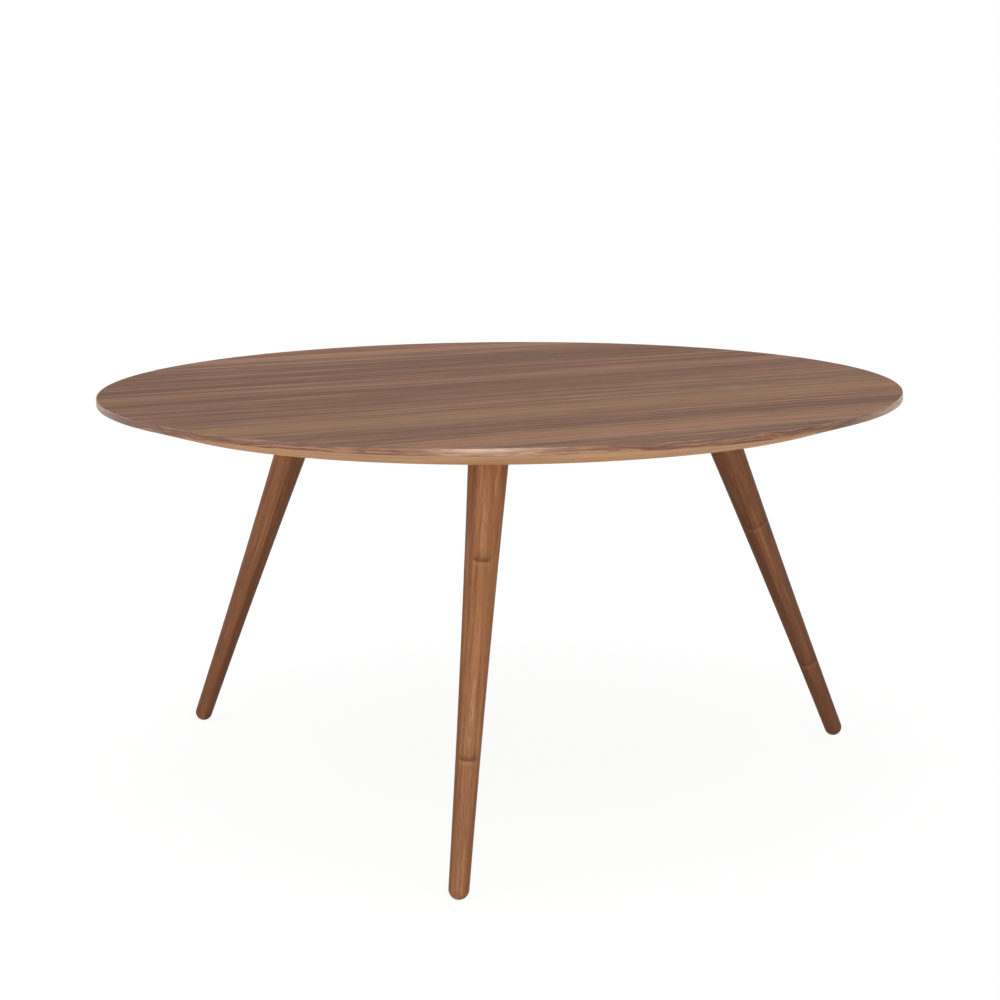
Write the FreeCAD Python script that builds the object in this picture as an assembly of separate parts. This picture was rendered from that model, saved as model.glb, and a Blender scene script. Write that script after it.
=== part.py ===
# Round coffee table on three splayed, turned legs.
# The table stands on z = 0, with the centre of its round top over the origin and z up.
# The front leg stands towards -Y, and the other two stand behind it, towards +X and -X.
# Lengths are in millimetres and angles in degrees.
import FreeCAD, Part
import math
import os

from FreeCAD import Placement, Rotation, Vector

# Whole table
TABLE_HEIGHT = 448.0
TOP_DIAMETER = 900.0

# Round top: a board with an upright rim and a wide bevel below it
TOP_THICKNESS = 25.0
RIM_HEIGHT = 7.2
BEVEL_WIDTH = 57.0
VENEER_THICKNESS = 0.6
BAND_THICKNESS = 1.0

# Turned leg, sizes square to its axis
LEG_TOP_DIAMETER = 42.0
LEG_MIDDLE_DIAMETER = 28.6
LEG_FOOT_DIAMETER = 20.6

# Where the legs go: the seat is the point where a leg's axis meets the underside,
# and the run is how far the foot stands out from it. The seat angle is where the seat
# lies round the top, and the lean angle is the way in which the foot stands out.
SEAT_INSET = 202.0
LEG_RUN = 168.5
FRONT_SEAT_ANGLE = -86.4
FRONT_LEAN_ANGLE = -95.3
BACK_SEAT_ANGLE = 18.2
BACK_LEAN_ANGLE = 19.3
HALF_TURN = 180.0

# Cast steel plate that holds a leg at its slant
FLANGE_DIAMETER = 80.0
FLANGE_THICKNESS = 3.0
FLANGE_CHAMFER = 0.6
HUB_MARGIN = 1.5
HUB_DRAFT = 2.5
LEG_TO_FLANGE_GAP = 2.0

# Countersunk screws through the flange into the board, one of them behind the leg
SCREW_COUNT = 3
SCREW_DIAMETER = 4.0
SCREW_HEAD_DIAMETER = 9.0
SCREW_EDGE_DISTANCE = 7.5
SCREW_TIP_COVER = 8.0

# Hanger bolt: one end in the plate's hub, the other in the leg
BOLT_DIAMETER = 8.0
BOLT_IN_LEG_LENGTH = 36.0
BOLT_TIP_LENGTH = 7.0
BOLT_END_GAP = 1.5

# Nail-on glide under each foot, which carries the foot's round on to a small flat sole
GLIDE_THICKNESS = 1.6
SOLE_DIAMETER = 7.0
NAIL_DIAMETER = 2.0
NAIL_LENGTH = 13.0
NAIL_SEAT = 0.7

# Fits and cuts
BORE_CLEARANCE = 0.1
BORE_END_GAP = 1.0
CUT_OVERRUN = 5.0

# Worked out from the sizes above
FULL_TURN = 2 * HALF_TURN
UP = Vector(0, 0, 1)
ORIGIN = Vector(0, 0, 0)
top_radius = TOP_DIAMETER / 2
seat_circle_radius = top_radius - SEAT_INSET
underside_height = TABLE_HEIGHT - TOP_THICKNESS
leg_top_radius = LEG_TOP_DIAMETER / 2
leg_middle_radius = LEG_MIDDLE_DIAMETER / 2
foot_radius = LEG_FOOT_DIAMETER / 2
screw_radius = SCREW_DIAMETER / 2
screw_head_radius = SCREW_HEAD_DIAMETER / 2
bolt_radius = BOLT_DIAMETER / 2
nail_radius = NAIL_DIAMETER / 2
sole_radius = SOLE_DIAMETER / 2

# The slant of a leg, from the seat to the middle of the round end of its foot
foot_centre_height = math.sqrt(foot_radius ** 2 - sole_radius ** 2)
leg_drop = underside_height - foot_centre_height
slant = math.atan2(LEG_RUN, leg_drop)
axis_length = math.hypot(LEG_RUN, leg_drop)

# The leg's flat end lies this far down its axis, so that its high side clears the flange
seat_drop = FLANGE_THICKNESS + LEG_TO_FLANGE_GAP + leg_top_radius * math.sin(slant)
leg_start = seat_drop / math.cos(slant)

# The flange is centred between the seat and the middle of the leg's end
flange_centre = seat_drop * math.tan(slant) / 2
flange_radius = FLANGE_DIAMETER / 2
screw_circle_radius = flange_radius - SCREW_EDGE_DISTANCE
screw_length = FLANGE_THICKNESS + TOP_THICKNESS - SCREW_TIP_COVER


def revolved(edges):
    """Solid of revolution about z from the closed outline that the edges make in the XZ plane."""
    return Part.Face(Part.Wire(edges)).revolve(ORIGIN, UP, FULL_TURN)


def outline(points):
    """Straight edges through the points, each a radius and a height."""
    corners = [Vector(radius, 0, height) for radius, height in points]
    return [Part.LineSegment(a, b).toShape() for a, b in zip(corners, corners[1:])]


def arc(start, middle, end):
    """Arc edge through three points, each a radius and a height."""
    places = [Vector(radius, 0, height) for radius, height in (start, middle, end)]
    return Part.Arc(*places).toShape()


def quarter_arc(centre, start, end):
    """Quarter circle from start to end about centre, each a radius and a height."""
    radius = math.hypot(start[0] - centre[0], start[1] - centre[1])
    way = [start[i] + end[i] - 2 * centre[i] for i in (0, 1)]
    reach = radius / math.hypot(*way)
    return arc(start, (centre[0] + way[0] * reach, centre[1] + way[1] * reach), end)


def turned_to_slant(shape):
    """Shape made about z and hanging below the seat, swung out so that z lies on the leg's axis."""
    shape.rotate(ORIGIN, Vector(0, 1, 0), -math.degrees(slant))
    return shape


def set_at_leg(shape, seat_angle, lean_angle):
    """Shape made with the seat at the origin and the foot towards +X, put where a leg goes."""
    seat = Rotation(UP, seat_angle).multVec(Vector(seat_circle_radius, 0, 0))
    placed = shape.copy()
    placed.Placement = Placement(seat + UP * underside_height, Rotation(UP, lean_angle)) * shape.Placement
    return placed


# Round top

bevel_slope = (TOP_THICKNESS - RIM_HEIGHT) / BEVEL_WIDTH
bevel_veneer_rise = VENEER_THICKNESS * math.hypot(1, bevel_slope)
rim_foot_height = TABLE_HEIGHT - RIM_HEIGHT
flat_radius = top_radius - BEVEL_WIDTH
band_inner_radius = top_radius - BAND_THICKNESS
band_inner_foot = rim_foot_height - bevel_slope * BAND_THICKNESS
veneered_top = TABLE_HEIGHT - VENEER_THICKNESS
veneered_underside = underside_height + VENEER_THICKNESS
mitre_radius = flat_radius - (bevel_veneer_rise - VENEER_THICKNESS) / bevel_slope


def screw_places():
    """Where a flange's screws go, evenly spaced from the one behind the leg, with the seat at the origin."""
    places = []
    for i in range(SCREW_COUNT):
        angle = math.radians(HALF_TURN + FULL_TURN * i / SCREW_COUNT)
        x = flange_centre + screw_circle_radius * math.cos(angle)
        places.append((x, screw_circle_radius * math.sin(angle)))
    return places


def pilot_holes():
    """Holes up into the top for the screws of one plate, with the seat at the origin."""
    depth = TOP_THICKNESS - SCREW_TIP_COVER + BORE_END_GAP
    radius = screw_radius + BORE_CLEARANCE
    holes = [
        Part.makeCylinder(radius, depth + CUT_OVERRUN, Vector(x, y, -CUT_OVERRUN))
        for x, y in screw_places()
    ]
    return Part.makeCompound(holes)


def top_core(holes):
    """Board of the top: square rim, bevel below it, flat underside with the pilot holes."""
    board = revolved(outline([
        (0, veneered_underside),
        (mitre_radius, veneered_underside),
        (band_inner_radius, band_inner_foot + bevel_veneer_rise),
        (band_inner_radius, veneered_top),
        (0, veneered_top),
        (0, veneered_underside),
    ]))
    return board.cut(holes)


def top_veneer():
    """Leaf of veneer on the top face, trimmed inside the edge band."""
    return Part.makeCylinder(band_inner_radius, VENEER_THICKNESS, UP * veneered_top)


def edge_band():
    """Strip round the upright rim, flush with the top face and with the bevel."""
    return revolved(outline([
        (top_radius, TABLE_HEIGHT),
        (band_inner_radius, TABLE_HEIGHT),
        (band_inner_radius, band_inner_foot),
        (top_radius, rim_foot_height),
        (top_radius, TABLE_HEIGHT),
    ]))


def bevel_veneer():
    """Cone of veneer on the bevel, between the edge band and the flat underside."""
    return revolved(outline([
        (flat_radius, underside_height),
        (band_inner_radius, band_inner_foot),
        (band_inner_radius, band_inner_foot + bevel_veneer_rise),
        (mitre_radius, veneered_underside),
        (flat_radius, underside_height),
    ]))


def underside_veneer(holes):
    """Backing leaf under the board, mitred to the bevel's veneer."""
    leaf = revolved(outline([
        (0, underside_height),
        (flat_radius, underside_height),
        (mitre_radius, veneered_underside),
        (0, veneered_underside),
        (0, underside_height),
    ]))
    return leaf.cut(holes)


# One leg and its fittings, with the seat at the origin and the foot towards +X

def down_axis(distance):
    """Height, before the slant is given, of a point that far down the leg's axis."""
    return -distance


def leg():
    """Turned leg: hollow taper in one long arc, round foot cut flat for its glide."""
    start = down_axis(leg_start)
    foot = down_axis(axis_length)
    bore_radius = bolt_radius + BORE_CLEARANCE
    bore_end = down_axis(leg_start + BOLT_IN_LEG_LENGTH + BORE_END_GAP)
    shoulder = (leg_top_radius, start)
    ankle = (foot_radius, foot)
    toe = (0, foot - foot_radius)
    edges = [
        arc(shoulder, (leg_middle_radius, (start + foot) / 2), ankle),
        quarter_arc((0, foot), ankle, toe),
    ]
    edges += outline([
        toe,
        (0, bore_end),
        (bore_radius, bore_end),
        (bore_radius, start),
        shoulder,
    ])
    turned = turned_to_slant(revolved(edges))
    floor = UP * -underside_height + Vector(LEG_RUN, 0, 0)
    below_glide = Part.makeCylinder(
        LEG_FOOT_DIAMETER, GLIDE_THICKNESS + CUT_OVERRUN, floor - UP * CUT_OVERRUN
    )
    nail_hole = Part.makeCylinder(
        nail_radius + BORE_CLEARANCE, NAIL_SEAT + NAIL_LENGTH + BORE_END_GAP, floor
    )
    return turned.cut(below_glide).cut(nail_hole)


def flange():
    """Round base of the plate, with an eased lower edge."""
    low = -FLANGE_THICKNESS
    base = revolved(outline([
        (0, 0),
        (flange_radius, 0),
        (flange_radius, low + FLANGE_CHAMFER),
        (flange_radius - FLANGE_CHAMFER, low),
        (0, low),
        (0, 0),
    ]))
    base.translate(Vector(flange_centre, 0, 0))
    return base


def hub():
    """Slanted boss with a cast piece's draft, square to the leg's axis where the leg meets it."""
    end_radius = leg_top_radius - HUB_MARGIN
    root_radius = end_radius + HUB_DRAFT
    reach = leg_start + root_radius * math.tan(slant)
    boss = Part.makeCone(end_radius, root_radius, reach, UP * down_axis(leg_start))
    side = 2 * reach + FLANGE_DIAMETER
    above = Part.makeBox(side, side, side, Vector(-side / 2, -side / 2, 0))
    return turned_to_slant(boss).cut(above)


def leg_plate():
    """Cast plate: flange and slanted hub in one, bored for the bolt and countersunk for the screws."""
    plate = flange().fuse(hub()).removeSplitter()
    bore_length = leg_start + bolt_radius + 2 * CUT_OVERRUN
    bore = Part.makeCylinder(
        bolt_radius + BORE_CLEARANCE, bore_length, UP * down_axis(leg_start + CUT_OVERRUN)
    )
    plate = plate.cut(turned_to_slant(bore))
    for x, y in screw_places():
        countersink = Part.makeCone(
            screw_head_radius + BORE_CLEARANCE, screw_radius + BORE_CLEARANCE, FLANGE_THICKNESS,
            Vector(x, y, -FLANGE_THICKNESS)
        )
        plate = plate.cut(countersink)
    return plate


def plate_screws():
    """The screws of one plate, as separate solids, their heads as deep as the flange is thick."""
    screws = []
    for x, y in screw_places():
        low = -FLANGE_THICKNESS
        high = low + screw_length
        body = revolved(outline([
            (0, low),
            (screw_head_radius, low),
            (screw_radius, 0),
            (screw_radius, high),
            (0, high),
            (0, low),
        ]))
        body.translate(Vector(x, y, 0))
        screws.append(body)
    return Part.makeCompound(screws)


def hanger_bolt():
    """Bolt from inside the hub down into the leg, pointed at the leg's end."""
    head_end = down_axis(bolt_radius * math.tan(slant) + BOLT_END_GAP)
    point = down_axis(leg_start + BOLT_IN_LEG_LENGTH)
    bolt = revolved(outline([
        (0, head_end),
        (bolt_radius, head_end),
        (bolt_radius, point + BOLT_TIP_LENGTH),
        (0, point),
        (0, head_end),
    ]))
    return turned_to_slant(bolt)


def foot_round(height):
    """Radius of the foot's round end at a height above the floor."""
    return math.sqrt(foot_radius ** 2 - (foot_centre_height - height) ** 2)


def foot_glide():
    """Hard pad that ends the foot's round on a flat sole, with a blind hole for its nail."""
    half_height = GLIDE_THICKNESS / 2
    upper_edge = (foot_round(GLIDE_THICKNESS), GLIDE_THICKNESS)
    side_middle = (foot_round(half_height), half_height)
    sole_edge = (sole_radius, 0)
    edges = [arc(sole_edge, side_middle, upper_edge)]
    edges += outline([
        upper_edge,
        (nail_radius + BORE_CLEARANCE, GLIDE_THICKNESS),
        (nail_radius + BORE_CLEARANCE, NAIL_SEAT),
        (0, NAIL_SEAT),
        (0, 0),
        sole_edge,
    ])
    pad = revolved(edges)
    pad.translate(Vector(LEG_RUN, 0, -underside_height))
    return pad


def glide_nail():
    """Nail of the glide, from its seat in the pad up into the foot."""
    return Part.makeCylinder(nail_radius, NAIL_LENGTH, Vector(LEG_RUN, 0, NAIL_SEAT - underside_height))


# Assembly

LEG_PLACES = {
    "front": (FRONT_SEAT_ANGLE, FRONT_LEAN_ANGLE),
    "right": (BACK_SEAT_ANGLE, BACK_LEAN_ANGLE),
    "left": (HALF_TURN - BACK_SEAT_ANGLE, HALF_TURN - BACK_LEAN_ANGLE),
}


def table_pieces():
    """Every piece of the table by its name, where it stands."""
    holes = Part.makeCompound([
        set_at_leg(pilot_holes(), *place) for place in LEG_PLACES.values()
    ])
    pieces = {
        "top_core": top_core(holes),
        "top_veneer": top_veneer(),
        "edge_band": edge_band(),
        "bevel_veneer": bevel_veneer(),
        "underside_veneer": underside_veneer(holes),
    }
    fittings = {
        "leg": leg(),
        "leg_plate": leg_plate(),
        "plate_screws": plate_screws(),
        "hanger_bolt": hanger_bolt(),
        "foot_glide": foot_glide(),
        "glide_nail": glide_nail(),
    }
    for side, place in LEG_PLACES.items():
        for name, shape in fittings.items():
            pieces[name + "_" + side] = set_at_leg(shape, *place)
    return pieces


os.makedirs("parts", exist_ok=True)
for name, shape in table_pieces().items():
    shape.exportStep("parts/" + name + ".step")
    print(name, "solids", len(shape.Solids), "volume", round(shape.Volume), "valid", shape.isValid())
print("slant", round(math.degrees(slant), 2), "leg end", round(seat_drop, 2), "below the underside")
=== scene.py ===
# %% [markdown]
# # A round coffee table on three turned legs
# The table is a thin round top with a wide bevel under its rim, on three splayed legs.
# The CAD model already holds every piece at its real size and place. We load it as a fixed
# frame, give each surface its finish, and model again by hand only the pieces that a camera
# sees from close by: the legs, the edge band, the screws and the glides.

# %% Load the CAD model
import math

import bmesh
import bpy
from mathutils import Matrix, Vector


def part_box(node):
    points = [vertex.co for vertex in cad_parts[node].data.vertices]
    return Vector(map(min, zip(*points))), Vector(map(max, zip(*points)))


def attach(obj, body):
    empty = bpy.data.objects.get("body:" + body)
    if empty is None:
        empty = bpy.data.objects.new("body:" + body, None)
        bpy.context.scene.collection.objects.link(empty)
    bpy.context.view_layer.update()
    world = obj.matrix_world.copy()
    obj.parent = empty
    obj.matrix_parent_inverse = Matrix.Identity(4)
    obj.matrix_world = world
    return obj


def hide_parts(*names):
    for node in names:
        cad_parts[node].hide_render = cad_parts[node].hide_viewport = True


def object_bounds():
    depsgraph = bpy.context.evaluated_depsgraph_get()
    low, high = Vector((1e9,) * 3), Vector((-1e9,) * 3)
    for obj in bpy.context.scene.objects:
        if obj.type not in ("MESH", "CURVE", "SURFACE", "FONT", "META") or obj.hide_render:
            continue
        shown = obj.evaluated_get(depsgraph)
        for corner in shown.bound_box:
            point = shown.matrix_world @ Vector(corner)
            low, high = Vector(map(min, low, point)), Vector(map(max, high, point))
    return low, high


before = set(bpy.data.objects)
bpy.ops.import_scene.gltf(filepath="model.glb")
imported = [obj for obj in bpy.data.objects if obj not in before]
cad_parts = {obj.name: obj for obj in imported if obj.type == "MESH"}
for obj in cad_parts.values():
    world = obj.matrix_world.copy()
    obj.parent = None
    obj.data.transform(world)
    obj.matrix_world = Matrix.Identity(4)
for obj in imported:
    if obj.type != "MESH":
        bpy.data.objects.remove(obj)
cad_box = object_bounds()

SIDES = ("front", "right", "left")
FULL_TURN = 2 * math.pi
print("CAD pieces:", len(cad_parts))

# %% [markdown]
# ## Sizes
# Everything is in metres. The sizes of the round top can be measured on the CAD pieces, so we
# measure them: that way they can't drift apart. A leg's own sizes are square to its slanted
# axis, where a box drawn along X, Y and Z doesn't help, so those are written down.

# %% Measure the top
MM = 0.001


def half_width(node):
    low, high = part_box(node)
    return (high.x - low.x) / 2


table_height = cad_box[1].z
top_radius = half_width("edge_band")
band_inner_radius = half_width("top_veneer")
flat_radius = half_width("underside_veneer")
underside_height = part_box("underside_veneer")[0].z
band_inner_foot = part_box("edge_band")[0].z
bevel_slope = (band_inner_foot - underside_height) / (band_inner_radius - flat_radius)
rim_foot = band_inner_foot + bevel_slope * (top_radius - band_inner_radius)
print("top radius", round(top_radius, 4), "rim height", round(table_height - rim_foot, 4))

# %% Sizes of a leg and where the legs stand
LEG_TOP_RADIUS = 21.0 * MM
LEG_MIDDLE_RADIUS = 14.3 * MM
FOOT_RADIUS = 10.3 * MM
LEG_EASE = 1.0 * MM
LEG_RUN = 168.5 * MM
SEAT_INSET = 202.0 * MM
PLATE_DEPTH = 5.0 * MM
GLIDE_THICKNESS = 1.6 * MM
SOLE_RADIUS = 3.5 * MM

# The angles say where a leg's seat lies round the top and which way its foot stands out
LEG_ANGLES = {"front": (-86.4, -95.3), "right": (18.2, 19.3), "left": (161.8, 160.7)}

foot_centre_height = math.sqrt(FOOT_RADIUS ** 2 - SOLE_RADIUS ** 2)
leg_drop = underside_height - foot_centre_height
slant = math.atan2(LEG_RUN, leg_drop)
axis_length = math.hypot(LEG_RUN, leg_drop)
leg_start = (PLATE_DEPTH + LEG_TOP_RADIUS * math.sin(slant)) / math.cos(slant)
print("slant", round(math.degrees(slant), 2), "degrees, leg", round(axis_length - leg_start, 4))


def leg_placement(side):
    """Moves a piece made under the origin, its foot towards +X, to where that leg stands."""
    seat_angle, lean_angle = (math.radians(angle) for angle in LEG_ANGLES[side])
    seat = Matrix.Rotation(seat_angle, 4, "Z") @ Vector((top_radius - SEAT_INSET, 0, 0))
    seat.z = underside_height
    return Matrix.Translation(seat) @ Matrix.Rotation(lean_angle, 4, "Z")


# %% [markdown]
# ## Helpers for modelling
# An operator works on everything that is selected, so each step starts with nothing selected.
# A finished piece has its place in its mesh and its object at the origin, as the CAD pieces
# have, and it rides on a body, while the CAD piece that it stands for is hidden.

# %% Helpers for selecting
def nothing_selected():
    bpy.ops.object.select_all(action="DESELECT")


def choose(piece):
    """Selects one piece alone and makes it the active one."""
    nothing_selected()
    piece.select_set(True)
    bpy.context.view_layer.objects.active = piece


def edit(piece):
    choose(piece)
    bpy.ops.object.mode_set(mode="EDIT")


def done():
    bpy.ops.object.mode_set(mode="OBJECT")


def select_all_of_it():
    bpy.ops.mesh.select_all(action="SELECT")


def select_where(piece, kind, wanted):
    """Selects the verts or the faces for which wanted(element) holds."""
    bpy.ops.mesh.select_mode(type={"verts": "VERT", "faces": "FACE"}[kind])
    bpy.ops.mesh.select_all(action="DESELECT")
    mesh = bmesh.from_edit_mesh(piece.data)
    for element in getattr(mesh, kind):
        if wanted(element):
            element.select_set(True)
    mesh.select_flush_mode()
    bmesh.update_edit_mesh(piece.data)


# %% Helpers for finishing a piece
SHARP_FROM = math.radians(35)


def faces_outwards():
    """Turns all faces of the mesh in edit mode outwards, and leaves edit mode."""
    select_all_of_it()
    bpy.ops.mesh.normals_make_consistent(inside=False)
    done()


def place_in_mesh(piece, matrix):
    """Moves the mesh itself, and leaves the object at the origin, unturned."""
    piece.data.transform(matrix @ piece.matrix_world)
    piece.matrix_world = Matrix.Identity(4)


def smooth(piece):
    """Shades a piece smooth, but keeps its sharp edges sharp."""
    choose(piece)
    bpy.ops.object.shade_smooth_by_angle(angle=SHARP_FROM)


def dress(piece, finish):
    """Gives a piece this finish and no other."""
    piece.data.materials.clear()
    piece.data.materials.append(finish)


def hand_over(piece, name, slot, finish, *nodes):
    """Names a finished piece, gives it its finish, hides the CAD pieces that it stands for and
    hangs it on the root body.
    """
    piece.name = name
    piece.data.name = name
    dress(piece, finish)
    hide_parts(*nodes)
    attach(piece, "root")


# %% [markdown]
# ## Helpers for finishes
# Every finish is a small network of nodes. These helpers keep such a network readable: a value
# that is a socket is linked, and any other value is simply set. Wood takes its colour as it
# would at the bench, from stains laid over each other, each where its own pattern allows it.

# %% Helpers for numbers
def feed(tree, socket, value):
    if isinstance(value, bpy.types.NodeSocket):
        tree.links.new(value, socket)
    else:
        socket.default_value = value


def maths(tree, operation, first, second=0.0):
    node = tree.nodes.new("ShaderNodeMath")
    node.operation = operation
    feed(tree, node.inputs[0], first)
    feed(tree, node.inputs[1], second)
    return node.outputs[0]


def plus(tree, first, second):
    return maths(tree, "ADD", first, second)


def minus(tree, first, second):
    return maths(tree, "SUBTRACT", first, second)


def times(tree, first, second):
    return maths(tree, "MULTIPLY", first, second)


def between(tree, value, low, high, new_low=0.0, new_high=1.0):
    """Stretches the range from low to high onto a new one, with soft ends."""
    node = tree.nodes.new("ShaderNodeMapRange")
    node.interpolation_type = "SMOOTHSTEP"
    for socket, number in zip(node.inputs, (value, low, high, new_low, new_high)):
        feed(tree, socket, number)
    return node.outputs[0]


# %% Helpers for places and patterns
def object_place(tree):
    return tree.nodes.new("ShaderNodeTexCoord").outputs["Object"]


def split(tree, vector):
    node = tree.nodes.new("ShaderNodeSeparateXYZ")
    feed(tree, node.inputs[0], vector)
    return node.outputs


def vector_of(tree, x, y, z):
    node = tree.nodes.new("ShaderNodeCombineXYZ")
    for socket, value in zip(node.inputs, (x, y, z)):
        feed(tree, socket, value)
    return node.outputs[0]


def noise(tree, place, per_metre, detail=2.0, roughness=0.5, shift=(0, 0, 0)):
    """Noise with its own number of waves per metre in each direction."""
    mapping = tree.nodes.new("ShaderNodeMapping")
    feed(tree, mapping.inputs["Vector"], place)
    mapping.inputs["Scale"].default_value = per_metre
    mapping.inputs["Location"].default_value = shift
    node = tree.nodes.new("ShaderNodeTexNoise")
    feed(tree, node.inputs["Vector"], mapping.outputs[0])
    node.inputs["Scale"].default_value = 1.0
    node.inputs["Detail"].default_value = detail
    node.inputs["Roughness"].default_value = roughness
    return node.outputs["Fac"]


# %% Helpers for colours and surfaces
def paint(red, green, blue):
    """Colour as a maker reads it off a sample, 0 to 255, for a socket that wants linear light."""
    linear = [(((c / 255) + 0.055) / 1.055) ** 2.4 for c in (red, green, blue)]
    return (*linear, 1.0)


def grey(level):
    return (level, level, level, 1)


def mixed(tree, factor, first, second):
    node = tree.nodes.new("ShaderNodeMix")
    node.data_type = "RGBA"
    feed(tree, node.inputs["Factor"], factor)
    colours = [socket for socket in node.inputs if socket.type == "RGBA"]
    feed(tree, colours[0], first)
    feed(tree, colours[1], second)
    return next(socket for socket in node.outputs if socket.type == "RGBA")


def stained(tree, colour, *stains):
    """Lays stains over a colour. A stain is its pattern, two values of the pattern, how strong
    the stain is at the one and at the other, and its own colour."""
    for pattern, low, high, at_low, at_high, stain in stains:
        amount = between(tree, pattern, low, high, at_low, at_high)
        colour = mixed(tree, amount, colour, paint(*stain))
    return colour


def new_finish(name, roughness, specular=0.5):
    """New material, with its node tree and its shader."""
    material = bpy.data.materials.new(name)
    material.use_nodes = True
    shader = material.node_tree.nodes["Principled BSDF"]
    shader.inputs["Roughness"].default_value = roughness
    shader.inputs["Specular IOR Level"].default_value = specular
    return material, material.node_tree, shader


def bumped(tree, shader, height, depth):
    """Lets a pattern stand out of the surface by so many metres."""
    node = tree.nodes.new("ShaderNodeBump")
    node.inputs["Strength"].default_value = 1.0
    node.inputs["Distance"].default_value = depth
    feed(tree, node.inputs["Height"], height)
    tree.links.new(node.outputs[0], shader.inputs["Normal"])


# %% [markdown]
# ## The veneer of the top
# The top is quarter-cut walnut: many narrow, nearly straight stripes that run across the whole
# table at a slant. A picture of wood would do, but a formula stays sharp at any distance. Noise
# that is stretched many times along the grain gives stripes, and seven widths of them are laid
# over each other, from bands as wide as a hand to lines a millimetre wide, with thin pale lines
# and pores among them. A leaf also has a few broad light and dark bands of its own, from wide
# and narrow growth, and those are listed one by one: where each lies across the grain, how wide
# it is and how strong. One more band among them is a painted reflection, which makes the far
# back of the top paler.

# %% Direction of the grain
GRAIN_ANGLE = math.radians(31)
GRAIN_WANDER = 30 * MM
WANDER_WAVES = (1.3, 2.4, 1.0)


def along_the_grain(tree):
    """Object place turned so that X runs along the grain, and pushed a little to and fro,
    because no tree grows dead straight."""
    turn = tree.nodes.new("ShaderNodeMapping")
    feed(tree, turn.inputs["Vector"], object_place(tree))
    turn.inputs["Rotation"].default_value = (0, 0, -GRAIN_ANGLE)
    x, y, z = split(tree, turn.outputs[0])
    sway = minus(tree, noise(tree, turn.outputs[0], WANDER_WAVES, detail=1.0), 0.5)
    return vector_of(tree, x, plus(tree, y, times(tree, sway, GRAIN_WANDER)), z)


# %% Bands and stripes
# Place across the grain, half width (both in mm) and strength of the broad bands. A light band
# turns golden as well, and a dark band of negative strength only makes the wood paler.
LIGHT_BANDS = ((-358, 52, 0.16), (-200, 60, 0.27), (-100, 24, 0.10), (52, 34, 0.10))
DARK_BANDS_AND_SHEEN = (
    (-303, 34, 0.16), (-40, 60, 0.08), (18, 30, 0.10), (132, 60, 0.24),
    # The last band here is a painted reflection: it pales the far back of the top, standing in
    # for the sheen of the white surroundings seen at a glancing angle
    (200, 50, 0.08), (250, 50, 0.10), (400, 150, -0.34),
)

# Waves per metre along and across the grain, and how strongly they show
STRIPES = (
    (0.7, 9, 0.42), (0.9, 19, 0.52), (1.2, 40, 0.48), (2.2, 85, 0.48),
    (4, 180, 0.60), (8, 380, 0.8), (20, 900, 1.1),
)
# The same for thin pale lines, which show only where the noise is high
PALE_LINES = ((0.9, 70, 0.35), (1.6, 160, 0.40), (3, 340, 0.45))


def bands(tree, distance, table):
    """Adds up broad soft bands from a table of place, half width (both in mm) and strength."""
    total = 0.0
    for place, reach, strength in table:
        away = maths(tree, "ABSOLUTE", minus(tree, distance, place * MM))
        total = plus(tree, total, between(tree, away, 0.0, reach * MM, strength, 0.0))
    return total


def with_stripes(tree, tone, place, shift):
    """Adds the stripes of all widths and the thin pale lines to a tone."""
    first, second, third = shift
    for number, (along, over, weight) in enumerate(STRIPES):
        own_shift = (first + number, second, third)
        stripe = noise(tree, place, (along, over, 1), detail=1.0, shift=own_shift)
        tone = plus(tree, tone, times(tree, minus(tree, stripe, 0.5), weight))
    for number, (along, over, weight) in enumerate(PALE_LINES):
        own_shift = (first, second + number, third + 2)
        line = noise(tree, place, (along, over, 1), detail=1.0, shift=own_shift)
        tone = plus(tree, tone, between(tree, line, 0.56, 0.76, 0.0, weight))
    return tone


# %% Finish of the top veneer
MIDDLE_TONE = 0.50
GOLD_IN_LIGHT_BANDS = 1.8

# Olive, dark and light, pink, dark and light, and the gold of the light bands
TOP_TONES = ((119, 93, 77), (178, 141, 119), (125, 92, 77), (185, 139, 117), (172, 135, 102))
PORE_BROWN = (90, 66, 52)


def striped_veneer(name, tones, light_bands, dark_bands_and_sheen, shift=(0, 0, 0)):
    material, tree, shader = new_finish(name, 0.75, specular=0.06)
    olive_dark, olive_light, pink_dark, pink_light, gold = (paint(*tone) for tone in tones)
    place = along_the_grain(tree)
    across = split(tree, place)[1]
    light = bands(tree, across, light_bands)
    banded = minus(tree, light, bands(tree, across, dark_bands_and_sheen))
    tone = with_stripes(tree, plus(tree, MIDDLE_TONE, banded), place, shift)
    hue = noise(tree, place, (0.9, 42, 1), detail=3.0, roughness=0.7, shift=(5, 3, 1))
    pore = noise(tree, place, (38, 1300, 1), detail=1.0, shift=(2, 7, 3))
    fleck = noise(tree, place, (70, 190, 1), detail=0.0, shift=(4, 4, 2))
    paleness = maths(tree, "POWER", maths(tree, "MAXIMUM", tone, 0.0), 2.5)
    olive = mixed(tree, paleness, olive_dark, olive_light)
    pink = mixed(tree, paleness, pink_dark, pink_light)
    colour = mixed(tree, between(tree, hue, 0.33, 0.67), olive, pink)
    colour = mixed(tree, times(tree, light, GOLD_IN_LIGHT_BANDS), colour, gold)
    colour = stained(
        tree, colour,
        (pore, 0.60, 0.72, 0.0, 0.35, PORE_BROWN),
        (fleck, 0.80, 0.86, 0.0, 0.5, tones[1]),
    )
    tree.links.new(colour, shader.inputs["Base Color"])
    tree.links.new(between(tree, tone, 0.3, 0.7, 0.71, 0.79), shader.inputs["Roughness"])
    bumped(tree, shader, minus(tree, tone, pore), 0.06 * MM)
    return material


top_finish = striped_veneer("top_veneer_striped_walnut", TOP_TONES, LIGHT_BANDS, DARK_BANDS_AND_SHEEN)
dress(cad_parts["top_veneer"], top_finish)
print("top veneer nodes:", len(top_finish.node_tree.nodes))

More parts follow.
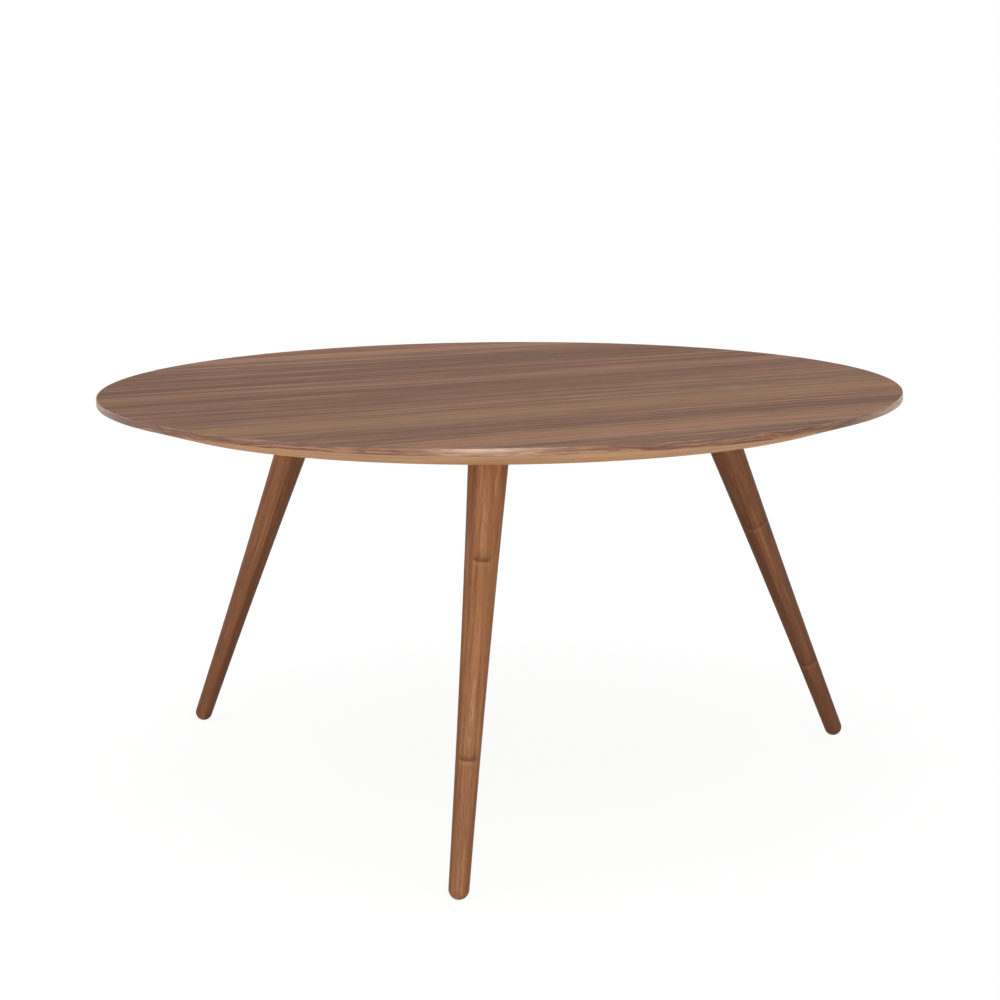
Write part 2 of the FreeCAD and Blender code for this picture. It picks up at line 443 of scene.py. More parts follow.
# %% [markdown]
# ## The underside and the board
# A board that is veneered on one side only would cup, so the underside has a backing leaf. It
# runs the same way as the top's veneer and is plainer: the same stripes in paler tones, with no
# broad bands. The fibreboard between the leaves is hidden, and gets a fine speckle of fibres.

# %% Finish of the backing veneer and the board
BACKING_TONES = (
    (180, 140, 104), (212, 174, 136), (184, 138, 106), (214, 172, 138), (200, 160, 120)
)
backing_finish = striped_veneer("underside_backing_veneer", BACKING_TONES, (), (), (3, 8, 2))
dress(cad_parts["underside_veneer"], backing_finish)


def fibreboard():
    material, tree, shader = new_finish("core_fibreboard", 0.85)
    fibres = noise(tree, object_place(tree), (900, 900, 2500), detail=4.0)
    colour = mixed(tree, fibres, paint(160, 126, 92), paint(196, 164, 126))
    tree.links.new(colour, shader.inputs["Base Color"])
    return material


board_finish = fibreboard()
dress(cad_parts["top_core"], board_finish)
print("finished:", backing_finish.name, "and", board_finish.name)

# %% [markdown]
# ## The bevel
# The bevel is a paler, honey-coloured leaf whose grain follows the rim. To run a pattern round
# a circle we use the angle round the table as one coordinate and the radius as the other. The
# angle jumps at one place, and we put that place at the back.

# %% Places round the rim
def round_the_rim(tree):
    """Distance round the rim from straight ahead, distance from the middle, and height."""
    x, y, z = split(tree, object_place(tree))
    angle = maths(tree, "ARCTAN2", x, times(tree, y, -1.0))
    squares = plus(tree, maths(tree, "POWER", x, 2.0), maths(tree, "POWER", y, 2.0))
    return times(tree, angle, top_radius), maths(tree, "SQRT", squares), z


# %% Finish of the bevel
def bevel_wood():
    material, tree, shader = new_finish("bevel_pale_veneer", 0.65, specular=0.15)
    place = vector_of(tree, *round_the_rim(tree))
    broad = noise(tree, place, (2.6, 55, 1))
    streak = noise(tree, place, (9, 260, 1), roughness=0.6, shift=(2, 6, 4))
    fine = noise(tree, place, (26, 900, 1), roughness=0.6)
    patch = noise(tree, place, (8, 9, 1), shift=(4, 1, 2))
    wide_tone = between(tree, broad, 0.3, 0.7)
    colour = stained(
        tree, mixed(tree, wide_tone, paint(209, 154, 103), paint(229, 178, 127)),
        (streak, 0.28, 0.52, 0.8, 0.0, (160, 110, 70)),
        (streak, 0.50, 0.72, 0.0, 0.6, (228, 186, 142)),
        (fine, 0.45, 0.72, 0.0, 0.3, (150, 100, 64)),
        (patch, 0.42, 0.68, 0.0, 0.4, (180, 140, 108)),
    )
    tree.links.new(colour, shader.inputs["Base Color"])
    tree.links.new(between(tree, broad, 0.3, 0.7, 0.60, 0.70), shader.inputs["Roughness"])
    bumped(tree, shader, fine, 0.05 * MM)
    return material


bevel_finish = bevel_wood()
dress(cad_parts["bevel_veneer"], bevel_finish)
print("bevel nodes:", len(bevel_finish.node_tree.nodes))

# %% [markdown]
# ## The edge band
# A strip of figured walnut, 1 mm thick, is glued round the rim, and its two outer edges are
# sanded round. The CAD strip has sharp edges, so we make it again: a small flat outline of the
# strip's section is rounded at two corners and spun about the middle of the table. The figure
# is noise stretched along the strip, with its height made to drift, so that the lines rise and
# fall as they do where a saw has crossed wavy wood. Three stretches of the strip get a painted
# highlight, a pale wash under the lines and a weaker one over them: one in front, where the rim
# faces the front lamp, and one at each side, as a painted reflection of the white surroundings
# where the rim is seen edge-on.

# %% Finish of the edge band
# Painted highlight and reflection: place round the rim from straight ahead, half width (both in
# mm) and strength of each pale stretch
SHEEN_PAINTED_STRETCHES = ((-600, 210, 0.50), (38, 95, 0.34), (700, 260, 0.65))
# Share of the painted highlight that lies over the lines as well
SHEEN_PAINTED_OVER_LINES = 0.6
FIGURE_DRIFT = 16 * MM


def band_wood():
    material, tree, shader = new_finish("edge_band_figured_walnut", 0.40, specular=0.58)
    distance, radius, height = round_the_rim(tree)
    place = vector_of(tree, distance, radius, height)
    drift = minus(tree, noise(tree, place, (9, 1, 1), roughness=0.6), 0.5)
    level = plus(tree, height, times(tree, drift, FIGURE_DRIFT))
    drifted = vector_of(tree, distance, radius, level)
    lines = noise(tree, drifted, (16, 1, 700), detail=2.5, roughness=0.62, shift=(3.3, 0, 5.1))
    fine = noise(tree, drifted, (70, 1, 1400), detail=1.0, shift=(6, 2, 8))
    tone = noise(tree, drifted, (6, 1, 150), shift=(1, 5, 9))
    # Painted highlight and reflection: the pale stretches round the rim
    pale = bands(tree, distance, SHEEN_PAINTED_STRETCHES)
    wide_tone = between(tree, tone, 0.36, 0.64)
    colour = mixed(tree, wide_tone, paint(123, 81, 55), paint(152, 107, 73))
    # The painted highlight's pale wash goes under the lines
    colour = stained(
        tree, mixed(tree, pale, colour, paint(198, 158, 120)),
        (lines, 0.48, 0.55, 0.0, 0.75, (90, 46, 30)),
        (lines, 0.36, 0.45, 0.4, 0.0, (186, 138, 100)),
        (fine, 0.51, 0.59, 0.0, 0.65, (86, 46, 30)),
    )
    # and a weaker painted highlight goes over the lines
    colour = mixed(tree, times(tree, pale, SHEEN_PAINTED_OVER_LINES), colour, paint(192, 146, 106))
    tree.links.new(colour, shader.inputs["Base Color"])
    tree.links.new(between(tree, lines, 0.40, 0.66, 0.35, 0.45), shader.inputs["Roughness"])
    bumped(tree, shader, times(tree, lines, -1.0), 0.12 * MM)
    return material


band_finish = band_wood()
print("edge band nodes:", len(band_finish.node_tree.nodes))

# %% Spin the edge band
BAND_STEPS = 360
UPPER_ROUNDING = 0.8 * MM
LOWER_ROUNDING = 0.3 * MM
ROUNDING_STEPS = 4


def section_of_band():
    """Flat outline of the strip's section, standing on the XZ plane at the rim."""
    nothing_selected()
    bpy.ops.mesh.primitive_plane_add(size=1, location=(0, 0, 0))
    section = bpy.context.object
    corners = {
        (-1, -1): (band_inner_radius, band_inner_foot),
        (1, -1): (top_radius, rim_foot),
        (1, 1): (top_radius, table_height),
        (-1, 1): (band_inner_radius, table_height),
    }
    for vertex in section.data.vertices:
        way = (round(math.copysign(1, vertex.co.x)), round(math.copysign(1, vertex.co.y)))
        radius, height = corners[way]
        vertex.co = (radius, 0, height)
    return section


def round_outer_corner(band, level, rounding):
    def is_outer_corner(vertex):
        return vertex.co.x > top_radius - MM / 2 and abs(vertex.co.z - level) < MM / 2

    select_where(band, "verts", is_outer_corner)
    bpy.ops.mesh.bevel(offset=rounding, segments=ROUNDING_STEPS, affect="VERTICES")


def spun_edge_band():
    band = section_of_band()
    edit(band)
    round_outer_corner(band, table_height, UPPER_ROUNDING)
    round_outer_corner(band, rim_foot, LOWER_ROUNDING)
    bpy.ops.mesh.select_mode(type="FACE")
    select_all_of_it()
    bpy.ops.mesh.delete(type="ONLY_FACE")
    bpy.ops.mesh.select_mode(type="EDGE")
    select_all_of_it()
    bpy.ops.mesh.spin(steps=BAND_STEPS, angle=FULL_TURN, center=(0, 0, 0), axis=(0, 0, 1))
    select_all_of_it()
    bpy.ops.mesh.remove_doubles(threshold=MM / 100)
    faces_outwards()
    smooth(band)
    return band


band = spun_edge_band()
hand_over(band, "edge_band_rounded", "edge_band", band_finish, "edge_band")
print("edge band:", len(band.data.polygons), "faces")

# %% [markdown]
# ## The legs
# Each leg is turned on a lathe from a blank glued up of strips. Its taper is one long hollow
# curve, and its foot is round. An outline could be spun, as for the edge band. We start from a
# disc the size of the leg's top instead, draw it out step by step down the axis and shrink it
# at each step, because a lathe works in such rings, and the screws and glides are made in the
# same way later. The bolt's hole is sunk into the top by an inset and one more extrusion.

# %% Helpers for turned pieces
def disc(sides, radius, height=0.0):
    """Starts a piece as a flat disc, all of it selected in edit mode."""
    nothing_selected()
    bpy.ops.mesh.primitive_circle_add(
        vertices=sides, radius=radius, fill_type="NGON", location=(0, 0, height)
    )
    piece = bpy.context.object
    place_in_mesh(piece, Matrix.Identity(4))
    edit(piece)
    select_all_of_it()
    return piece


def draw_out(rise, grow=1.0):
    """Extrudes the selected end along Z, and makes the new end wider or narrower."""
    bpy.ops.mesh.extrude_region_move(TRANSFORM_OT_translate={"value": (0, 0, rise)})
    bpy.ops.transform.resize(value=(grow, grow, 1))


def copy_of(pattern):
    """Copy of a piece, with a mesh of its own."""
    piece = pattern.copy()
    piece.data = pattern.data.copy()
    bpy.context.collection.objects.link(piece)
    return piece


# %% Draw out one leg
LEG_SIDES = 96
TAPER_STEPS = 40
FOOT_STEPS = 12


def taper_radius(share):
    """Radius on the arc through the leg's top, middle and foot, by the share of its length."""
    length = axis_length - leg_start
    sag = LEG_MIDDLE_RADIUS - (LEG_TOP_RADIUS + FOOT_RADIUS) / 2
    chord = LEG_TOP_RADIUS + (FOOT_RADIUS - LEG_TOP_RADIUS) * share
    bend = math.hypot(length, FOOT_RADIUS - LEG_TOP_RADIUS) ** 2 / (8 * abs(sag))
    off_middle = (share - 0.5) * length
    return chord + math.copysign(math.sqrt(bend ** 2 - off_middle ** 2) - bend + abs(sag), sag)


def leg_stations():
    """Distance down the axis and radius, from the top of the leg to its toe."""
    stations = [(leg_start, LEG_TOP_RADIUS - LEG_EASE), (leg_start + LEG_EASE, taper_radius(0))]
    for step in range(1, TAPER_STEPS + 1):
        share = step / TAPER_STEPS
        stations.append((leg_start + share * (axis_length - leg_start), taper_radius(share)))
    for step in range(1, FOOT_STEPS):
        angle = math.pi / 2 * step / FOOT_STEPS
        depth = axis_length + FOOT_RADIUS * math.sin(angle)
        stations.append((depth, FOOT_RADIUS * math.cos(angle)))
    return stations


def drawn_out_leg():
    stations = leg_stations()
    start, top_end_radius = stations[0]
    leg = disc(LEG_SIDES, top_end_radius, height=-start)
    for (above, wide), (below, narrow) in zip(stations, stations[1:]):
        draw_out(above - below, narrow / wide)
    faces_outwards()
    return leg


# %% Bore the leg for its bolt
BOLT_HOLE_RADIUS = 4.1 * MM
BOLT_HOLE_DEPTH = 37.0 * MM


def bore_for_bolt(leg):
    edit(leg)
    select_where(leg, "faces", lambda face: face.normal.z > 0.9 and len(face.verts) > 4)
    bpy.ops.mesh.inset(thickness=LEG_TOP_RADIUS - LEG_EASE - BOLT_HOLE_RADIUS)
    draw_out(-BOLT_HOLE_DEPTH)
    done()


pattern_leg = drawn_out_leg()
bore_for_bolt(pattern_leg)
print("leg:", len(pattern_leg.data.polygons), "faces")

# %% [markdown]
# ## The wood of the legs
# The blanks are glued up of strips about 27 mm wide, light and dark by turns. The turning cuts
# through them, so a glue line runs down the leg at a constant distance from its axis. Here and
# there a dark mark of growth crosses a strip: it sags in the middle, is soft above and has a
# pale lower edge. On the front leg a painted highlight, a pale streak of flecks, leads down to
# each mark. All this has to follow the wood and not the room, so while a leg still stands
# upright, three attributes are stored on its points, and the finish reads them. The first says
# where the point lies in the blank. The second says what the wood is like there: its tone, with
# a painted shade that darkens it towards the foot, the step between the strips and how strong
# the growth marks are. The third says how many marks lie above the point, and where across the
# blank their middle is and how far they reach.

# %% Growth marks
# How much a mark is bowed and how much it wobbles, as shares of the way to the next mark. The
# bow is a share for each square metre, because it grows with the square of the mark's reach.
MARK_SAG = 105.0
MARK_WOBBLE = 0.012
MARK_BROWN = (64, 34, 20)
MARK_EDGE = (196, 146, 106)
# Colour of the painted highlight on the front leg
HIGHLIGHT_PAINTED_STREAK = (190, 150, 120)


def stored_value(tree, name):
    node = tree.nodes.new("ShaderNodeAttribute")
    node.attribute_name = name
    return node.outputs["Vector"]


def growth_marks(tree, marks_above, off_middle, reach, place):
    """How dark and how pale the marks make a point, and how far it lies below the last mark,
    as a share of the way to the next one."""
    squares = [maths(tree, "POWER", value, 2.0) for value in (reach, off_middle)]
    sag = times(tree, minus(tree, *squares), MARK_SAG)
    wobble = times(tree, noise(tree, place, (90, 90, 40), detail=0.0), MARK_WOBBLE)
    below = maths(tree, "FRACT", minus(tree, marks_above, plus(tree, sag, wobble)))
    shade = between(tree, below, 0.930, 1.0, 0.0, 0.28)
    line = between(tree, below, 0.976, 0.992, 0.0, 0.30)
    fading = between(tree, below, 0.0, 0.010, 0.52, 0.0)
    pale = between(tree, below, 0.010, 0.035, 0.14, 0.0)
    return plus(tree, plus(tree, shade, line), fading), pale, below


def with_marks(tree, colour, place, across, strength):
    """Lays the growth marks over the wood, and on the front leg a painted highlight, a pale
    streak of flecks that leads down to each mark.
    """
    marks_above, middle, reach = split(tree, stored_value(tree, "marks_above"))
    off_middle = maths(tree, "ABSOLUTE", minus(tree, across, middle))
    dark, pale, below = growth_marks(tree, marks_above, off_middle, reach, place)
    share = maths(tree, "DIVIDE", off_middle, reach)
    shown = times(tree, strength, between(tree, share, 0.6, 1.15, 1.0, 0.0))
    # Painted highlight, on the front leg only: a pale streak of flecks near the middle of each
    # mark, strongest just above it
    dash = noise(tree, place, (600, 300, 70), roughness=0.6, shift=(2, 9, 6))
    highlight_flecks = between(tree, share, 0.05, 0.50, 0.3, 0.0)
    highlight_flecks = times(tree, highlight_flecks, between(tree, strength, 0.9, 1.0))
    highlight_flecks = times(tree, highlight_flecks, between(tree, below, 0.40, 0.85, 0.2, 1.0))
    highlight_flecks = times(tree, highlight_flecks, between(tree, dash, 0.45, 0.60, 0.1, 1.0))
    colour = mixed(tree, highlight_flecks, colour, paint(*HIGHLIGHT_PAINTED_STREAK))
    colour = mixed(tree, times(tree, pale, shown), colour, paint(*MARK_EDGE))
    return mixed(tree, times(tree, dark, shown), colour, paint(*MARK_BROWN))


# %% Finish of the legs
STRIP_WIDTH = 27.0 * MM
SEAM_WIDTH = 0.5 * MM


def strip_tone(tree, across, tone, step):
    """Tone of the strip that a point lies in: every second strip is a step lighter."""
    strip = maths(tree, "FLOOR", maths(tree, "DIVIDE", across, STRIP_WIDTH))
    odd = maths(tree, "MODULO", maths(tree, "ABSOLUTE", strip), 2.0)
    return plus(tree, tone, times(tree, step, minus(tree, 1.0, odd)))


def leg_grain(tree, place, tone):
    """Colour of the plain wood, with its fine grain and its pores."""
    broad = noise(tree, place, (130, 70, 2.5), roughness=0.6)
    streak = noise(tree, place, (420, 160, 9), roughness=0.6, shift=(8, 3, 5))
    blotch = noise(tree, place, (110, 60, 16), shift=(6, 6, 2))
    fine = noise(tree, place, (1100, 400, 30), roughness=0.6)
    pore = noise(tree, place, (1900, 700, 110), detail=1.0, shift=(3, 1, 7))
    colour = mixed(tree, tone, paint(98, 60, 38), paint(166, 112, 72))
    colour = stained(tree, colour, (broad, 0.35, 0.65, 0.28, 0.0, (104, 60, 34)))
    # Pale streaks show more in light strips, and dark blotches in dark ones
    pale = times(tree, between(tree, streak, 0.52, 0.75, 0.0, 0.6), plus(tree, tone, 0.2))
    colour = mixed(tree, pale, colour, paint(186, 134, 92))
    dark = times(tree, between(tree, blotch, 0.46, 0.62, 0.0, 0.6), minus(tree, 0.8, tone))
    colour = stained(
        tree, mixed(tree, dark, colour, paint(84, 50, 34)),
        (streak, 0.25, 0.48, 0.5, 0.0, (92, 54, 31)),
        (fine, 0.45, 0.75, 0.0, 0.35, (92, 54, 32)),
        (pore, 0.60, 0.72, 0.0, 0.4, (80, 46, 28)),
    )
    return colour, fine, pore


def leg_wood():
    material, tree, shader = new_finish("leg_turned_wood", 0.58, specular=0.2)
    place = stored_value(tree, "place_in_blank")
    across = split(tree, place)[0]
    # The tone holds the painted shade towards the foot
    tone, step, mark_strength = split(tree, stored_value(tree, "blank_traits_and_shade"))
    colour, fine, pore = leg_grain(tree, place, strip_tone(tree, across, tone, step))
    seam = maths(tree, "PINGPONG", across, STRIP_WIDTH / 2)
    colour = stained(tree, colour, (seam, 0.0, SEAM_WIDTH, 0.35, 0.0, (84, 48, 28)))
    colour = with_marks(tree, colour, place, across, mark_strength)
    tree.links.new(colour, shader.inputs["Base Color"])
    tree.links.new(between(tree, fine, 0.3, 0.7, 0.52, 0.64), shader.inputs["Roughness"])
    bumped(tree, shader, minus(tree, fine, pore), 0.05 * MM)
    return material


leg_finish = leg_wood()
print("leg nodes:", len(leg_finish.node_tree.nodes))

# %% What each blank is like
# Turn of the blank in degrees, place of its glue lines, tone, step between strips, and for its
# growth marks: strength, distance from the seat to the first one and from one to the next,
# place of their middle across the blank, and reach to each side of it. Lengths are in mm.
BLANKS = {
    "front": dict(turn=-101.3, glue=9.7, tone=0.58, step=0.15,
                  marks=1.0, first=123.5, spacing=197.0, middle=9.7, reach=9.7),
    "right": dict(turn=13.3, glue=4.5, tone=-0.04, step=0.24,
                  marks=0.6, first=162.0, spacing=188.0, middle=5.0, reach=13.0),
    "left": dict(turn=154.7, glue=23.0, tone=0.07, step=0.30,
                 marks=0.0, first=150.0, spacing=190.0, middle=0.0, reach=10.0),
}
# Painted shade: how much the tone falls from the seat to the foot, against the stronger light
# that reaches the lower legs
SHADE_PAINTED_TO_FOOT = 0.28
# Moves the pattern from one leg to the next, so that no two legs have the same figure
NEXT_LEG = Vector((0, 0.3, 0.7))


def remember_blank(leg, side):
    """Stores where each point lies in its blank, and what that blank is like, with a painted
    shade that darkens its tone towards the foot.
    """
    blank = BLANKS[side]
    turn = Matrix.Rotation(math.radians(blank["turn"]), 3, "Z")
    own_part = NEXT_LEG * SIDES.index(side)
    places, traits, marks = (
        leg.data.attributes.new(name, "FLOAT_VECTOR", "POINT").data
        for name in ("place_in_blank", "blank_traits_and_shade", "marks_above")
    )
    for vertex in leg.data.vertices:
        local = turn @ vertex.co
        depth = -local.z
        place = Vector((local.x + blank["glue"] * MM, local.y, depth))
        # Painted shade: the tone falls towards the foot
        tone = blank["tone"] + SHADE_PAINTED_TO_FOOT * (0.5 - depth / axis_length)
        marks_above = (depth - blank["first"] * MM) / (blank["spacing"] * MM) + 1.0
        places[vertex.index].vector = place + own_part
        traits[vertex.index].vector = (tone, blank["step"], blank["marks"])
        marks[vertex.index].vector = (marks_above, blank["middle"] * MM, blank["reach"] * MM)


# %% [markdown]
# ## Standing the legs
# Each leg is a copy of the pattern, with its own place in a blank. It is leaned over about its
# seat, and its foot is cut flat where the glide begins, which is easier once it leans, because
# the cut is level. Then it goes to its place under the top, and its box is set against the box
# of the CAD leg that it stands for.

# %% Lean the legs over and place them
def lean_and_cut(leg):
    """Swings the leg out about its seat, and cuts the foot flat where the glide begins."""
    edit(leg)
    select_all_of_it()
    bpy.ops.transform.rotate(value=slant, orient_axis="Y", center_override=(0, 0, 0))
    select_all_of_it()
    cut = (0, 0, GLIDE_THICKNESS - underside_height)
    bpy.ops.mesh.bisect(plane_co=cut, plane_no=(0, 0, 1), clear_inner=True, use_fill=True)
    done()


def box_of(piece):
    """Lowest and highest corner of a finished piece."""
    corners = [Vector(corner) for corner in piece.bound_box]
    return [Vector([pick(c[i] for c in corners) for i in range(3)]) for pick in (min, max)]


for side in SIDES:
    leg = copy_of(pattern_leg)
    remember_blank(leg, side)
    lean_and_cut(leg)
    place_in_mesh(leg, leg_placement(side))
    smooth(leg)
    cad_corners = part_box("leg_" + side)
    hand_over(leg, "leg_turned_" + side, "leg_wood", leg_finish, "leg_" + side)
    off = max((own - cad).length for own, cad in zip(box_of(leg), cad_corners))
    print(side, "leg differs from CAD by", round(off / MM, 2), "mm")
bpy.data.objects.remove(pattern_leg)

# %% [markdown]
# ## Plates, bolts, screws and glides
# These sit under the top, where only a look from below finds them. The cast plates have a
# powder coat: nearly black, with a fine orange-peel skin. The bolts and nails are zinc plated.
# The screws get the cross recess that a driver needs. It could be modelled into the head by
# hand, but two crossed blades cut it cleanly, with a boolean modifier each. The glides carry on
# the round of the foot, so they are drawn out in rings as the legs are.

# %% Finishes of the fittings
def powder_coat():
    material, tree, shader = new_finish("plate_black_powder_coat", 0.45)
    grain = noise(tree, object_place(tree), (1400, 1400, 1400))
    colour = mixed(tree, grain, paint(26, 26, 27), paint(44, 44, 45))
    tree.links.new(colour, shader.inputs["Base Color"])
    bumped(tree, shader, grain, 0.12 * MM)
    return material


def zinc():
    material, tree, shader = new_finish("zinc_plated_steel", 0.35)
    shader.inputs["Metallic"].default_value = 1.0
    cloud = noise(tree, object_place(tree), (260, 260, 260), detail=3.0)
    colour = mixed(tree, cloud, paint(190, 192, 190), paint(214, 214, 208))
    tree.links.new(colour, shader.inputs["Base Color"])
    tree.links.new(between(tree, cloud, 0.2, 0.8, 0.25, 0.45), shader.inputs["Roughness"])
    return material


def glide_plastic():
    material, tree, shader = new_finish("glide_brown_plastic", 0.55)
    cloud = noise(tree, object_place(tree), (700, 700, 700), detail=3.0)
    colour = mixed(tree, cloud, paint(58, 42, 34), paint(74, 55, 44))
    tree.links.new(colour, shader.inputs["Base Color"])
    bumped(tree, shader, cloud, 0.03 * MM)
    return material


plate_finish = powder_coat()
zinc_finish = zinc()
glide_finish = glide_plastic()
for side in SIDES:
    dress(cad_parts["leg_plate_" + side], plate_finish)
    dress(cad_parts["hanger_bolt_" + side], zinc_finish)
    dress(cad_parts["glide_nail_" + side], zinc_finish)
print("finished:", plate_finish.name, zinc_finish.name, glide_finish.name)

# %% A screw with a cross recess
SCREW_SIDES = 48
SCREW_HEAD_RADIUS = 4.5 * MM
SCREW_RADIUS = 2.0 * MM
SCREW_LENGTH = 20.0 * MM
SCREW_POINT = 4.0 * MM
POINT_SHARE = 0.08
HEAD_DEPTH = 3.0 * MM
RECESS_LENGTH = 4.8 * MM
RECESS_WIDTH = 1.1 * MM
RECESS_DEPTH = 1.8 * MM
RECESS_TAPER = 0.45


def recess_cutter():
    """Two crossed blades that narrow towards the bottom, as a driver's tip does."""
    blades = []
    for turn in (0, math.pi / 2):
        nothing_selected()
        bpy.ops.mesh.primitive_cube_add(size=1, location=(0, 0, 0))
        blade = bpy.context.object
        for vertex in blade.data.vertices:
            x, y, z = vertex.co
            taper, height = (RECESS_TAPER, RECESS_DEPTH) if z > 0 else (1.0, -RECESS_DEPTH)
            vertex.co = (x * RECESS_LENGTH * taper, y * RECESS_WIDTH, height)
        place_in_mesh(blade, Matrix.Rotation(turn, 4, "Z"))
        blades.append(blade)
    return blades


def countersunk_screw():
    """Screw with its point up: the head's flat lies at the origin."""
    screw = disc(SCREW_SIDES, SCREW_HEAD_RADIUS)
    draw_out(HEAD_DEPTH, SCREW_RADIUS / SCREW_HEAD_RADIUS)
    draw_out(SCREW_LENGTH - HEAD_DEPTH - SCREW_POINT)
    draw_out(SCREW_POINT, POINT_SHARE)
    faces_outwards()
    for blade in recess_cutter():
        cut = screw.modifiers.new("recess", "BOOLEAN")
        cut.object = blade
        cut.operation = "DIFFERENCE"
        cut.solver = "EXACT"
        choose(screw)
        bpy.ops.object.modifier_apply(modifier="recess")
        bpy.data.objects.remove(blade)
    return screw


pattern_screw = countersunk_screw()
print("screw:", len(pattern_screw.data.polygons), "faces")

# %% Screws of the three plates
FLANGE_RADIUS = 40.0 * MM
SCREW_EDGE_DISTANCE = 7.5 * MM
# How far each screw of a plate is turned, since no fitter stops them all alike
SCREW_TURNS = (0.3, 1.0, 1.7)

seat_drop = leg_start * math.cos(slant)
flange_centre = seat_drop * math.tan(slant) / 2
screw_circle = FLANGE_RADIUS - SCREW_EDGE_DISTANCE


def screws_of_plate(side):
    """The screws of one plate, as one piece."""
    screws = []
    for number, turn in enumerate(SCREW_TURNS):
        angle = math.pi + FULL_TURN * number / len(SCREW_TURNS)
        x = flange_centre + screw_circle * math.cos(angle)
        spot = Vector((x, screw_circle * math.sin(angle), -HEAD_DEPTH))
        screw = copy_of(pattern_screw)
        turned = Matrix.Rotation(turn, 4, "Z")
        place_in_mesh(screw, leg_placement(side) @ Matrix.Translation(spot) @ turned)
        screws.append(screw)
    choose(screws[0])
    for screw in screws:
        screw.select_set(True)
    bpy.ops.object.join()
    return bpy.context.object


for side in SIDES:
    screws = screws_of_plate(side)
    smooth(screws)
    name = "plate_screws_recessed_" + side
    hand_over(screws, name, "zinc_steel", zinc_finish, "plate_screws_" + side)
bpy.data.objects.remove(pattern_screw)
print("screws on each plate:", len(SCREW_TURNS))

# %% Glides that carry on the round of the foot
GLIDE_SIDES = 96
GLIDE_STEPS = 6


def round_of_foot(height):
    """Radius of the foot's ball at a height above the floor."""
    return math.sqrt(FOOT_RADIUS ** 2 - (foot_centre_height - height) ** 2)


def rounded_glide():
    glide = disc(GLIDE_SIDES, round_of_foot(0))
    rise = GLIDE_THICKNESS / GLIDE_STEPS
    for step in range(GLIDE_STEPS):
        draw_out(rise, round_of_foot(rise * (step + 1)) / round_of_foot(rise * step))
    faces_outwards()
    return glide


pattern_glide = rounded_glide()
for side in SIDES:
    low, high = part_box("foot_glide_" + side)
    foot = (low + high) / 2
    glide = copy_of(pattern_glide)
    place_in_mesh(glide, Matrix.Translation((foot.x, foot.y, 0)))
    smooth(glide)
    name = "foot_glide_rounded_" + side
    hand_over(glide, name, "glide_plastic", glide_finish, "foot_glide_" + side)
bpy.data.objects.remove(pattern_glide)
cad_glide_radius = half_width("foot_glide_front")
print("glide radius", round(round_of_foot(GLIDE_THICKNESS), 5), "CAD", round(cad_glide_radius, 5))

# %% [markdown]
# ## Floor, light and camera
# The table stands on a plain white floor that runs out of sight. To the camera the floor is
# mostly white by its own colour, and a small share of it answers to the lamps, so that the table
# keeps a soft shadow. To everything else it is a plain pale surface that throws light back up.
# Four sun lamps light the table. Lamps with a size and a place would light a floor this large
# unevenly, and a sun does not. Three of them have a wide disc, for soft shadows. The front one
# has a small disc and stands low, and gives the rim and the legs their gloss.

# %% White floor
FLOOR_SIZE = 60.0
FLOOR_SHARE_LIT = 0.16
FLOOR_GLOW = 1.10


def seen_directly(tree):
    """1 where a ray comes from the camera, a mirror or glass, and 0 for scattered light."""
    path = tree.nodes.new("ShaderNodeLightPath")
    camera_ray, clear_ray, mirror_ray = (
        path.outputs[name] for name in ("Is Camera Ray", "Is Transmission Ray", "Is Glossy Ray")
    )
    return maths(tree, "MAXIMUM", maths(tree, "MAXIMUM", camera_ray, clear_ray), mirror_ray)


def floor_finish():
    material, tree, shader = new_finish("floor_white", 0.9, specular=0.0)
    speckle = noise(tree, object_place(tree), (3, 3, 3))
    tree.links.new(mixed(tree, speckle, grey(0.80), grey(0.83)), shader.inputs["Base Color"])
    glow = tree.nodes.new("ShaderNodeEmission")
    glow.inputs["Color"].default_value = grey(FLOOR_GLOW)
    blend = tree.nodes.new("ShaderNodeMixShader")
    feed(tree, blend.inputs[0], times(tree, seen_directly(tree), 1 - FLOOR_SHARE_LIT))
    feed(tree, blend.inputs[1], shader.outputs[0])
    feed(tree, blend.inputs[2], glow.outputs[0])
    tree.links.new(blend.outputs[0], tree.nodes["Material Output"].inputs["Surface"])
    return material


nothing_selected()
bpy.ops.mesh.primitive_plane_add(size=FLOOR_SIZE, location=(0, 0, 0))
floor = bpy.context.object
floor.name = "floor"
floor.data.materials.append(floor_finish())
print("floor:", FLOOR_SIZE, "m wide")

# %% White surroundings
SKY_LIGHT = 0.30

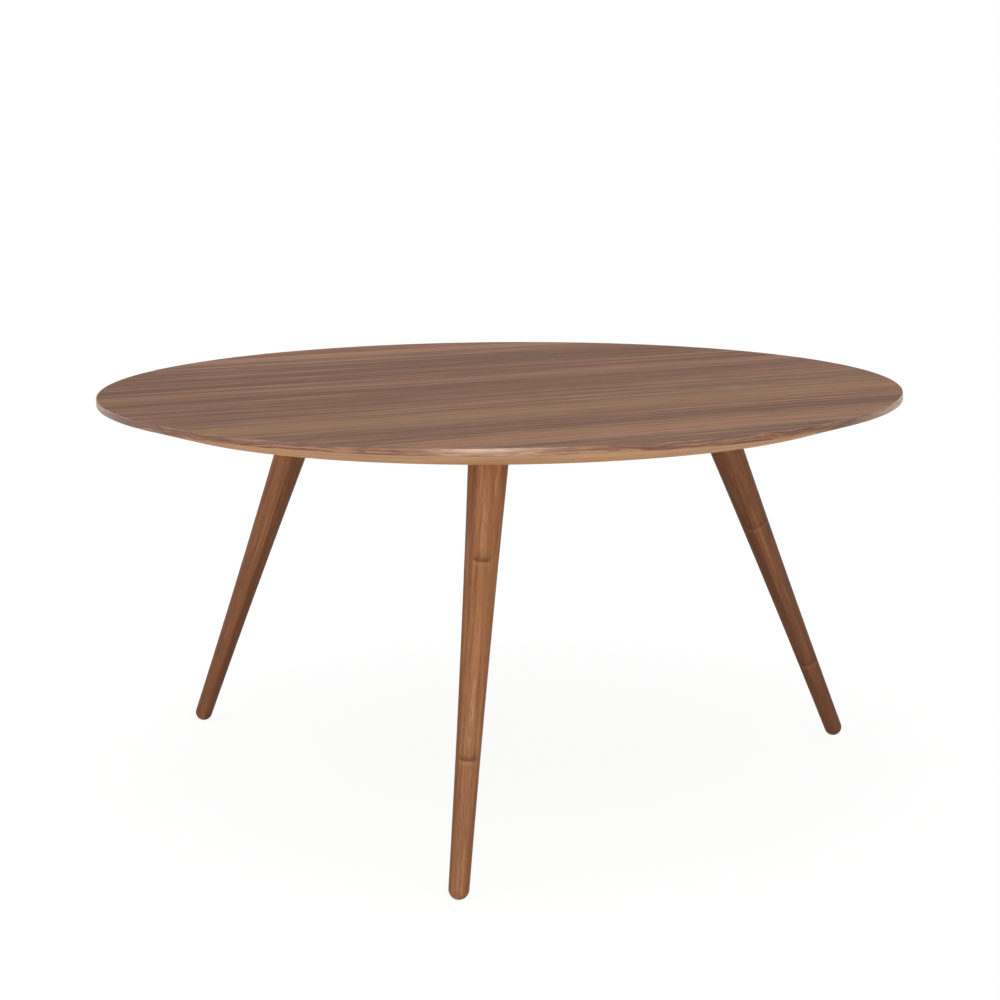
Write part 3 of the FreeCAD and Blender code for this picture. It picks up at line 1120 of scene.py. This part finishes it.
world = bpy.data.worlds.new("white_surroundings")
world.use_nodes = True
bpy.context.scene.world = world
sky = world.node_tree
background = sky.nodes["Background"]
background.inputs["Color"].default_value = grey(1)
brightness = between(sky, seen_directly(sky), 0.0, 1.0, SKY_LIGHT, 1.0)
sky.links.new(brightness, background.inputs["Strength"])
print("light from the surroundings:", SKY_LIGHT)

# %% Lamps
# Direction round the table from straight ahead, height above the floor and width of the disc,
# all in degrees, and strength
LAMPS = {
    "front": (2, 2, 6, 1.52),
    "left": (-50, 7, 30, 0.75),
    "right": (50, 7, 30, 0.60),
    "above": (-20, 78, 60, 1.06),
}
LAMP_DISTANCE = 4.0

for name, (direction, height, disc_width, strength) in LAMPS.items():
    nothing_selected()
    bpy.ops.object.light_add(type="SUN")
    lamp = bpy.context.object
    lamp.name = "lamp_" + name
    lamp.data.angle = math.radians(disc_width)
    lamp.data.energy = strength
    around = Matrix.Rotation(math.radians(direction), 4, "Z")
    lamp.matrix_world = around @ Matrix.Rotation(math.radians(90 - height), 4, "X")
    lamp.location = lamp.matrix_world.to_3x3() @ Vector((0, 0, LAMP_DISTANCE))
print("lamps:", len(LAMPS))

# %% [markdown]
# ## The camera
# The table is seen from a little above its top and a little to the right. The camera's place,
# turns and lens come from fitting the rim and the three legs to their outlines in the picture.
# That is surer than trying by eye, because one camera has to suit all of them at once.

# %% Camera
CAMERA_PLACE = (0.22422, -2.14681, 0.72810)
CAMERA_TURN = math.radians(5.973)
CAMERA_PITCH = math.radians(10.862)
CAMERA_ROLL = math.radians(-0.455)
CAMERA_LENS = 68.72
SENSOR_WIDTH = 36.0

nothing_selected()
bpy.ops.object.camera_add(location=CAMERA_PLACE)
camera = bpy.context.object
camera.name = "camera"
look = (
    Matrix.Rotation(CAMERA_TURN, 3, "Z")
    @ Matrix.Rotation(math.pi / 2 - CAMERA_PITCH, 3, "X")
    @ Matrix.Rotation(CAMERA_ROLL, 3, "Z")
)
camera.rotation_euler = look.to_euler()
camera.data.sensor_width = SENSOR_WIDTH
camera.data.lens = CAMERA_LENS
bpy.context.scene.camera = camera
bpy.context.scene.view_settings.view_transform = "Standard"
print("camera", round(Vector(CAMERA_PLACE).length, 2), "m from the point under the table")
